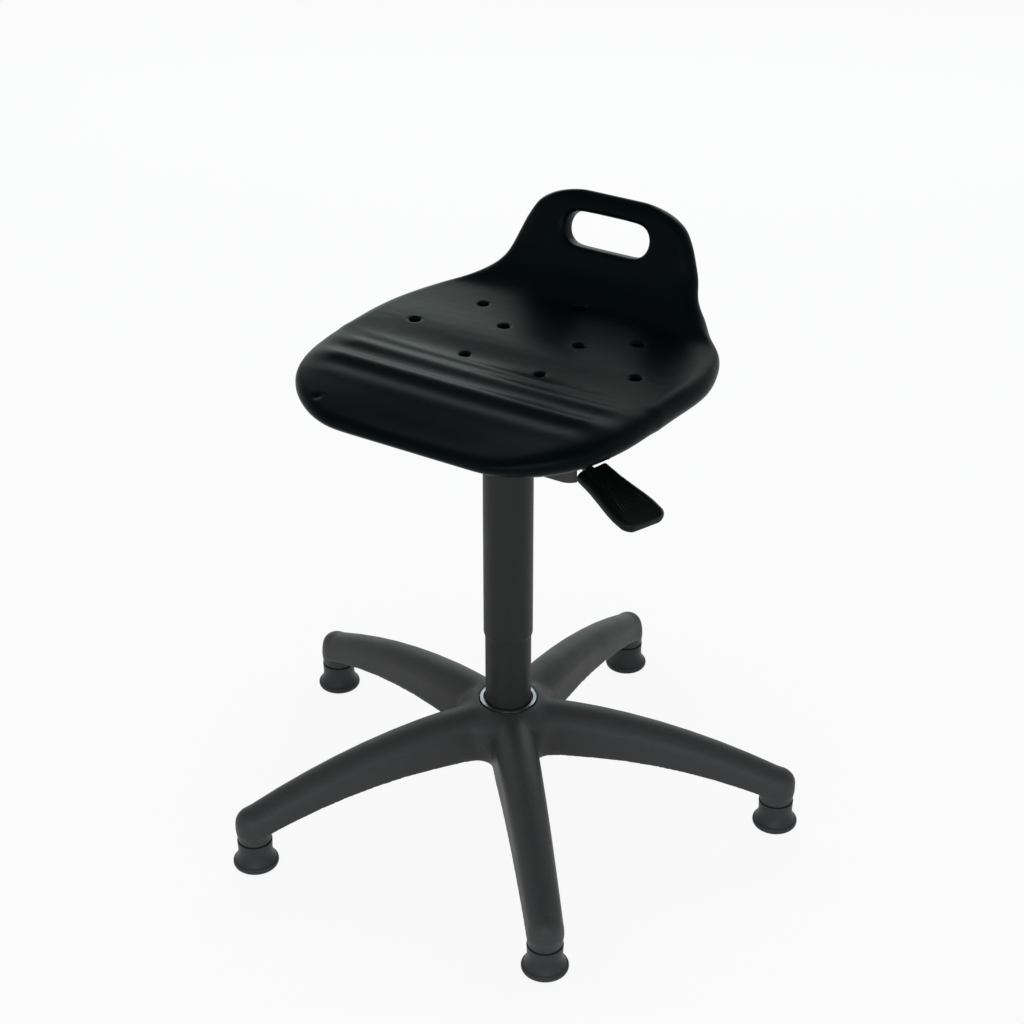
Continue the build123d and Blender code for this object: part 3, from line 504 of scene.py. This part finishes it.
def vent_distance(points):
    """Distance from the nearest vent hole's axis."""
    gaps = [np.hypot(np.abs(points[:, 0]) - x, points[:, 1] - y) for x, y in VENTS]
    return np.min(gaps, axis=0)


def soften_bend(mesh, points):
    """Sweep the pan softly into the back."""
    x, y, z = points.T
    weight = window(y, *BEND_ALONG) * window(z, *BEND_LEVEL)
    clear = ramp(vent_distance(points), *VENT_CLEAR) * (1.0 - ramp(np.abs(x), *BEND_SIDES))
    relax(mesh, points, weight * clear, BEND_ROUNDS)


def soften_slot(mesh, points):
    """Round the rim of the carry slot."""
    relax(mesh, points, 1.0 - ramp(slot_distance(points), *SLOT_SOFT), SLOT_ROUNDS)


def soften_back(mesh, points):
    """Even out the side edges of the back."""
    x, y, z = points.T
    weight = ramp(np.abs(x), *BACK_SIDES) * ramp(y, *BACK_DEPTH) * window(z, *BACK_LEVEL)
    relax(mesh, points, weight, BACK_ROUNDS)


def soften_rim(mesh, points):
    """Roll the front of the seat softly over its rim."""
    x, y, z = points.T
    at_side = ramp(side_share(points, front_stations(points)), *SIDE_RIM)
    at_rim = np.maximum(ramp(-y, *NOSE_RIM), at_side)
    relax(mesh, points, at_rim * ramp(-y, *REDRAWN) * ramp(z, *RIM_LOW), RIM_ROUNDS)


def press_dimple(mesh, points):
    """Small round mould mark on the nose."""
    normals = np.empty(3 * len(mesh.vertices))
    mesh.vertices.foreach_get("normal", normals)
    gap = np.hypot(points[:, 0] - DIMPLE_PLACE[0], points[:, 1] - DIMPLE_PLACE[1])
    depth = DIMPLE_DEPTH * np.exp(-(gap / DIMPLE_SPREAD) ** 2) * (points[:, 2] > RIM_LEVEL)
    points -= depth[:, None] * normals.reshape(-1, 3)


def press_bend_vent(points):
    """Vent hole in the bend, pressed square to its slope."""
    slant = radians(BEND_VENT_SLANT)
    gap = np.hypot(points[:, 0] - BEND_VENT[0], points[:, 1] - BEND_VENT[1])
    depth = BEND_VENT_DEPTH * (1.0 - ramp(gap, *BEND_VENT_RADIUS)) * (points[:, 2] > BEND_VENT_FLOOR)
    points[:, 1] += depth * sin(slant)
    points[:, 2] -= depth * cos(slant)


def moulded_seat(materials):
    """The seat's soft shape, which stands for its solid."""
    piece = softened_copy("seat_shell", "moulded_seat", SEAT_VOXEL, SEAT_SMOOTHING)
    mesh = piece.data
    points = read_points(mesh)
    draw_seat_line(mesh, points)
    soften_bend(mesh, points)
    soften_slot(mesh, points)
    soften_back(mesh, points)
    soften_rim(mesh, points)
    press_dimple(mesh, points)
    press_bend_vent(points)
    write_points(mesh, points)
    mesh.materials.append(materials["seat_foam"])
    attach(piece, "seat")
    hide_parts("seat_shell")


# Base

def underside_levels(node, points):
    """Vertices on the node's faces that look down, and the height of those faces there."""
    tree = surface_tree(frame["nodes"][node].data)
    kept = []
    level = []
    for index, point in enumerate(points):
        place, normal, _, _ = tree.find_nearest(Vector(point))
        if normal.z < FACING_DOWN:
            kept.append(index)
            level.append(place.z)
    return np.array(kept), np.array(level)


def moulded_base(materials):
    """The star base with the soft blends of a moulding between its arms."""
    piece = softened_copy("star_base", "moulded_base", BASE_VOXEL, smoothing=0)
    mesh = piece.data
    points = read_points(mesh)
    at_hub = window(np.hypot(points[:, 0], points[:, 1]), *HUB_RING)
    under, level = underside_levels("star_base", points)
    relax(mesh, points, np.ones(len(points)), BASE_ROUNDS, under, level)
    relax(mesh, points, at_hub, HUB_ROUNDS, under, level)
    write_points(mesh, points)
    mesh.materials.append(materials["base_nylon"])
    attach(piece, "base")
    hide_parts("star_base")


# Lever paddle

def paddle_section(half_width, half_thick, ribs):
    """Points round one section of the paddle: ribbed hollow top, rounded sides and a full underside."""
    flat = half_width - half_thick
    across = np.linspace(flat, -flat, TOP_STEPS)
    share = across / flat
    wave = 0.5 + 0.5 * np.cos(np.pi * RIB_COUNT * share / RIB_SHARE)
    relief = ribs * RIB_HEIGHT * wave * (np.abs(share) < RIB_SHARE)
    top = half_thick - PADDLE_HOLLOW * (1.0 - share ** 2) + relief
    turn = np.linspace(0.5 * np.pi, 1.5 * np.pi, SIDE_STEPS + 2)[1:-1]
    outward = half_thick * np.cos(turn)
    upward = half_thick * np.sin(turn)
    left = np.stack([outward - flat, upward], 1)
    under = np.stack([np.linspace(-flat, flat, UNDER_STEPS), np.full(UNDER_STEPS, -half_thick)], 1)
    right = np.stack([flat - outward, upward], 1)[::-1]
    return np.concatenate([np.stack([across, top], 1), left, under, right])


def corner_inset(radius, left_over):
    """How far a corner of this radius has drawn in where this much length is left."""
    into = max(0.0, radius - left_over)
    return radius - np.sqrt(max(0.0, radius ** 2 - into ** 2))


def paddle_rings():
    """Sections along the paddle; the last ones draw in to its rounded tip."""
    shares, widths, thicks = np.array(PADDLE_LINE).T
    rings = []
    for place in 1.0 - (1.0 - np.linspace(0.0, 1.0, PADDLE_RINGS)) ** RING_CROWDING:
        left_over = PADDLE_LENGTH * (1.0 - place)
        half_width = np.interp(place, shares, widths) - corner_inset(PADDLE_ROUND, left_over)
        half_thick = np.interp(place, shares, thicks) - corner_inset(PADDLE_EDGE, left_over)
        section = paddle_section(half_width, half_thick, window(place, *RIB_RUN))
        rings.append(np.column_stack([np.full(len(section), PADDLE_LENGTH * place), section]))
    return rings


def paddle_faces(ring_count, count):
    """Faces between the rings and over both ends."""
    faces = []
    for ring in range(ring_count - 1):
        for step in range(count):
            here = ring * count + step
            beside = ring * count + (step + 1) % count
            faces.append((here, here + count, beside + count, beside))
    last = (ring_count - 1) * count
    faces.append(tuple(range(count)))
    faces.append(tuple(range(last, last + count))[::-1])
    return faces


def lever_paddle(materials):
    """Paddle on the release lever: straight flaring sides, a ribbed thumb hollow and a blunt rounded tip."""
    rings = paddle_rings()
    drop = radians(LEVER_DROP)
    turn = radians(LEVER_TURN)
    up = Vector((0.0, 0.0, 1.0))
    outward = Vector((cos(turn), sin(turn), 0.0))
    along = outward * cos(drop) - up * sin(drop)
    side = Vector((-sin(turn), cos(turn), 0.0))
    over = along.cross(side)
    start = outward * PADDLE_START + up * (LEVER_LEVEL - (PADDLE_START - LEVER_BEND) * tan(drop))
    points = [start + along * a + side * b + over * c for a, b, c in np.concatenate(rings)]
    mesh = bpy.data.meshes.new("lever_paddle")
    mesh.from_pydata(points, [], paddle_faces(len(rings), len(rings[0])))
    shape = bmesh.new()
    shape.from_mesh(mesh)
    bmesh.ops.recalc_face_normals(shape, faces=shape.faces)
    shape.to_mesh(mesh)
    shape.free()
    mesh.shade_smooth()
    mesh.materials.append(materials["lever_plastic"])
    piece = link("lever_paddle", mesh)
    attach(piece, "lever")
    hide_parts("lever_handle")


# Stage, light and camera

def studio_floor():
    """Pale floor that keeps the stool's shadow and looks near white to the camera and in reflections."""
    mesh = bpy.data.meshes.new("floor")
    signs = ((-1, -1), (1, -1), (1, 1), (-1, 1))
    corners = [(x * FLOOR_HALF, y * FLOOR_HALF, -FLOOR_GAP) for x, y in signs]
    mesh.from_pydata(corners, [], [(0, 1, 2, 3)])
    floor = link("floor", mesh)
    material, nodes, links, shader = new_material("floor")
    shader.inputs["Base Color"].default_value = FLOOR_TONE
    shader.inputs["Roughness"].default_value = FLOOR_ROUGH
    shader.inputs["Specular IOR Level"].default_value = 0.0
    path = nodes.new("ShaderNodeLightPath")
    seen = path.outputs["Is Camera Ray"]
    for ray in ("Is Glossy Ray", "Is Transmission Ray"):
        either = nodes.new("ShaderNodeMath")
        either.operation = "MAXIMUM"
        links.new(seen, either.inputs[0])
        links.new(path.outputs[ray], either.inputs[1])
        seen = either.outputs["Value"]
    share = nodes.new("ShaderNodeMath")
    share.operation = "MULTIPLY"
    links.new(seen, share.inputs[0])
    share.inputs[1].default_value = FLOOR_WHITE
    white = nodes.new("ShaderNodeEmission")
    blend = nodes.new("ShaderNodeMixShader")
    links.new(share.outputs["Value"], blend.inputs["Fac"])
    links.new(shader.outputs["BSDF"], blend.inputs[1])
    links.new(white.outputs["Emission"], blend.inputs[2])
    links.new(blend.outputs["Shader"], nodes["Material Output"].inputs["Surface"])
    mesh.materials.append(material)


def aim(place, target):
    """Turn that points a lamp or camera from its place to a target."""
    return (Vector(target) - Vector(place)).to_track_quat("-Z", "Y").to_euler()


def softbox(name, place, target, width, height, radiance, tone):
    """Soft rectangular lamp; its power follows from its size and how bright its face is."""
    lamp = bpy.data.lights.new(name, "AREA")
    lamp.color = tone
    lamp.shape = "RECTANGLE"
    lamp.size = width
    lamp.size_y = height
    lamp.energy = radiance * np.pi * width * height
    holder = bpy.data.objects.new(name, lamp)
    scene.collection.objects.link(holder)
    holder.visible_camera = False
    holder.location = place
    holder.rotation_euler = aim(place, target)


def studio_light():
    """World that is bright at the horizon and dim overhead, and two softboxes."""
    world = bpy.data.worlds.new("studio")
    world.use_nodes = True
    nodes = world.node_tree.nodes
    links = world.node_tree.links
    backdrop = nodes["Background"]
    backdrop.inputs["Color"].default_value = WORLD_TONE
    place = nodes.new("ShaderNodeTexCoord")
    parts = nodes.new("ShaderNodeSeparateXYZ")
    links.new(place.outputs["Generated"], parts.inputs["Vector"])
    strength = spread(nodes, links, parts.outputs["Z"], WORLD_LOW, WORLD_HIGH, *WORLD_RISE)
    links.new(strength, backdrop.inputs["Strength"])
    scene.world = world
    softbox("back_softbox", place=(-1.3, 2.4, 1.45), target=(0.0, 0.0, 0.5), width=3.2, height=1.7,
            radiance=1.4, tone=(0.80, 1.0, 0.93))
    softbox("front_softbox", place=(1.4, -2.4, 0.8), target=(0.0, 0.0, 0.2), width=2.8, height=1.2,
            radiance=2.5, tone=(0.94, 0.97, 1.0))


def photo_camera():
    lens = bpy.data.cameras.new("camera")
    lens.lens = CAMERA_LENS
    lens.sensor_width = CAMERA_SENSOR
    lens.shift_x, lens.shift_y = CAMERA_SHIFT
    lens.clip_start = CAMERA_NEAR
    camera = bpy.data.objects.new("camera", lens)
    scene.collection.objects.link(camera)
    camera.location = CAMERA_PLACE
    camera.rotation_euler = aim(CAMERA_PLACE, CAMERA_TARGET)
    scene.camera = camera


slots = slot_materials()
finish_nodes(slots)
moulded_seat(slots)
moulded_base(slots)
lever_paddle(slots)
studio_floor()
studio_light()
photo_camera()
scene.view_settings.view_transform = "Standard"
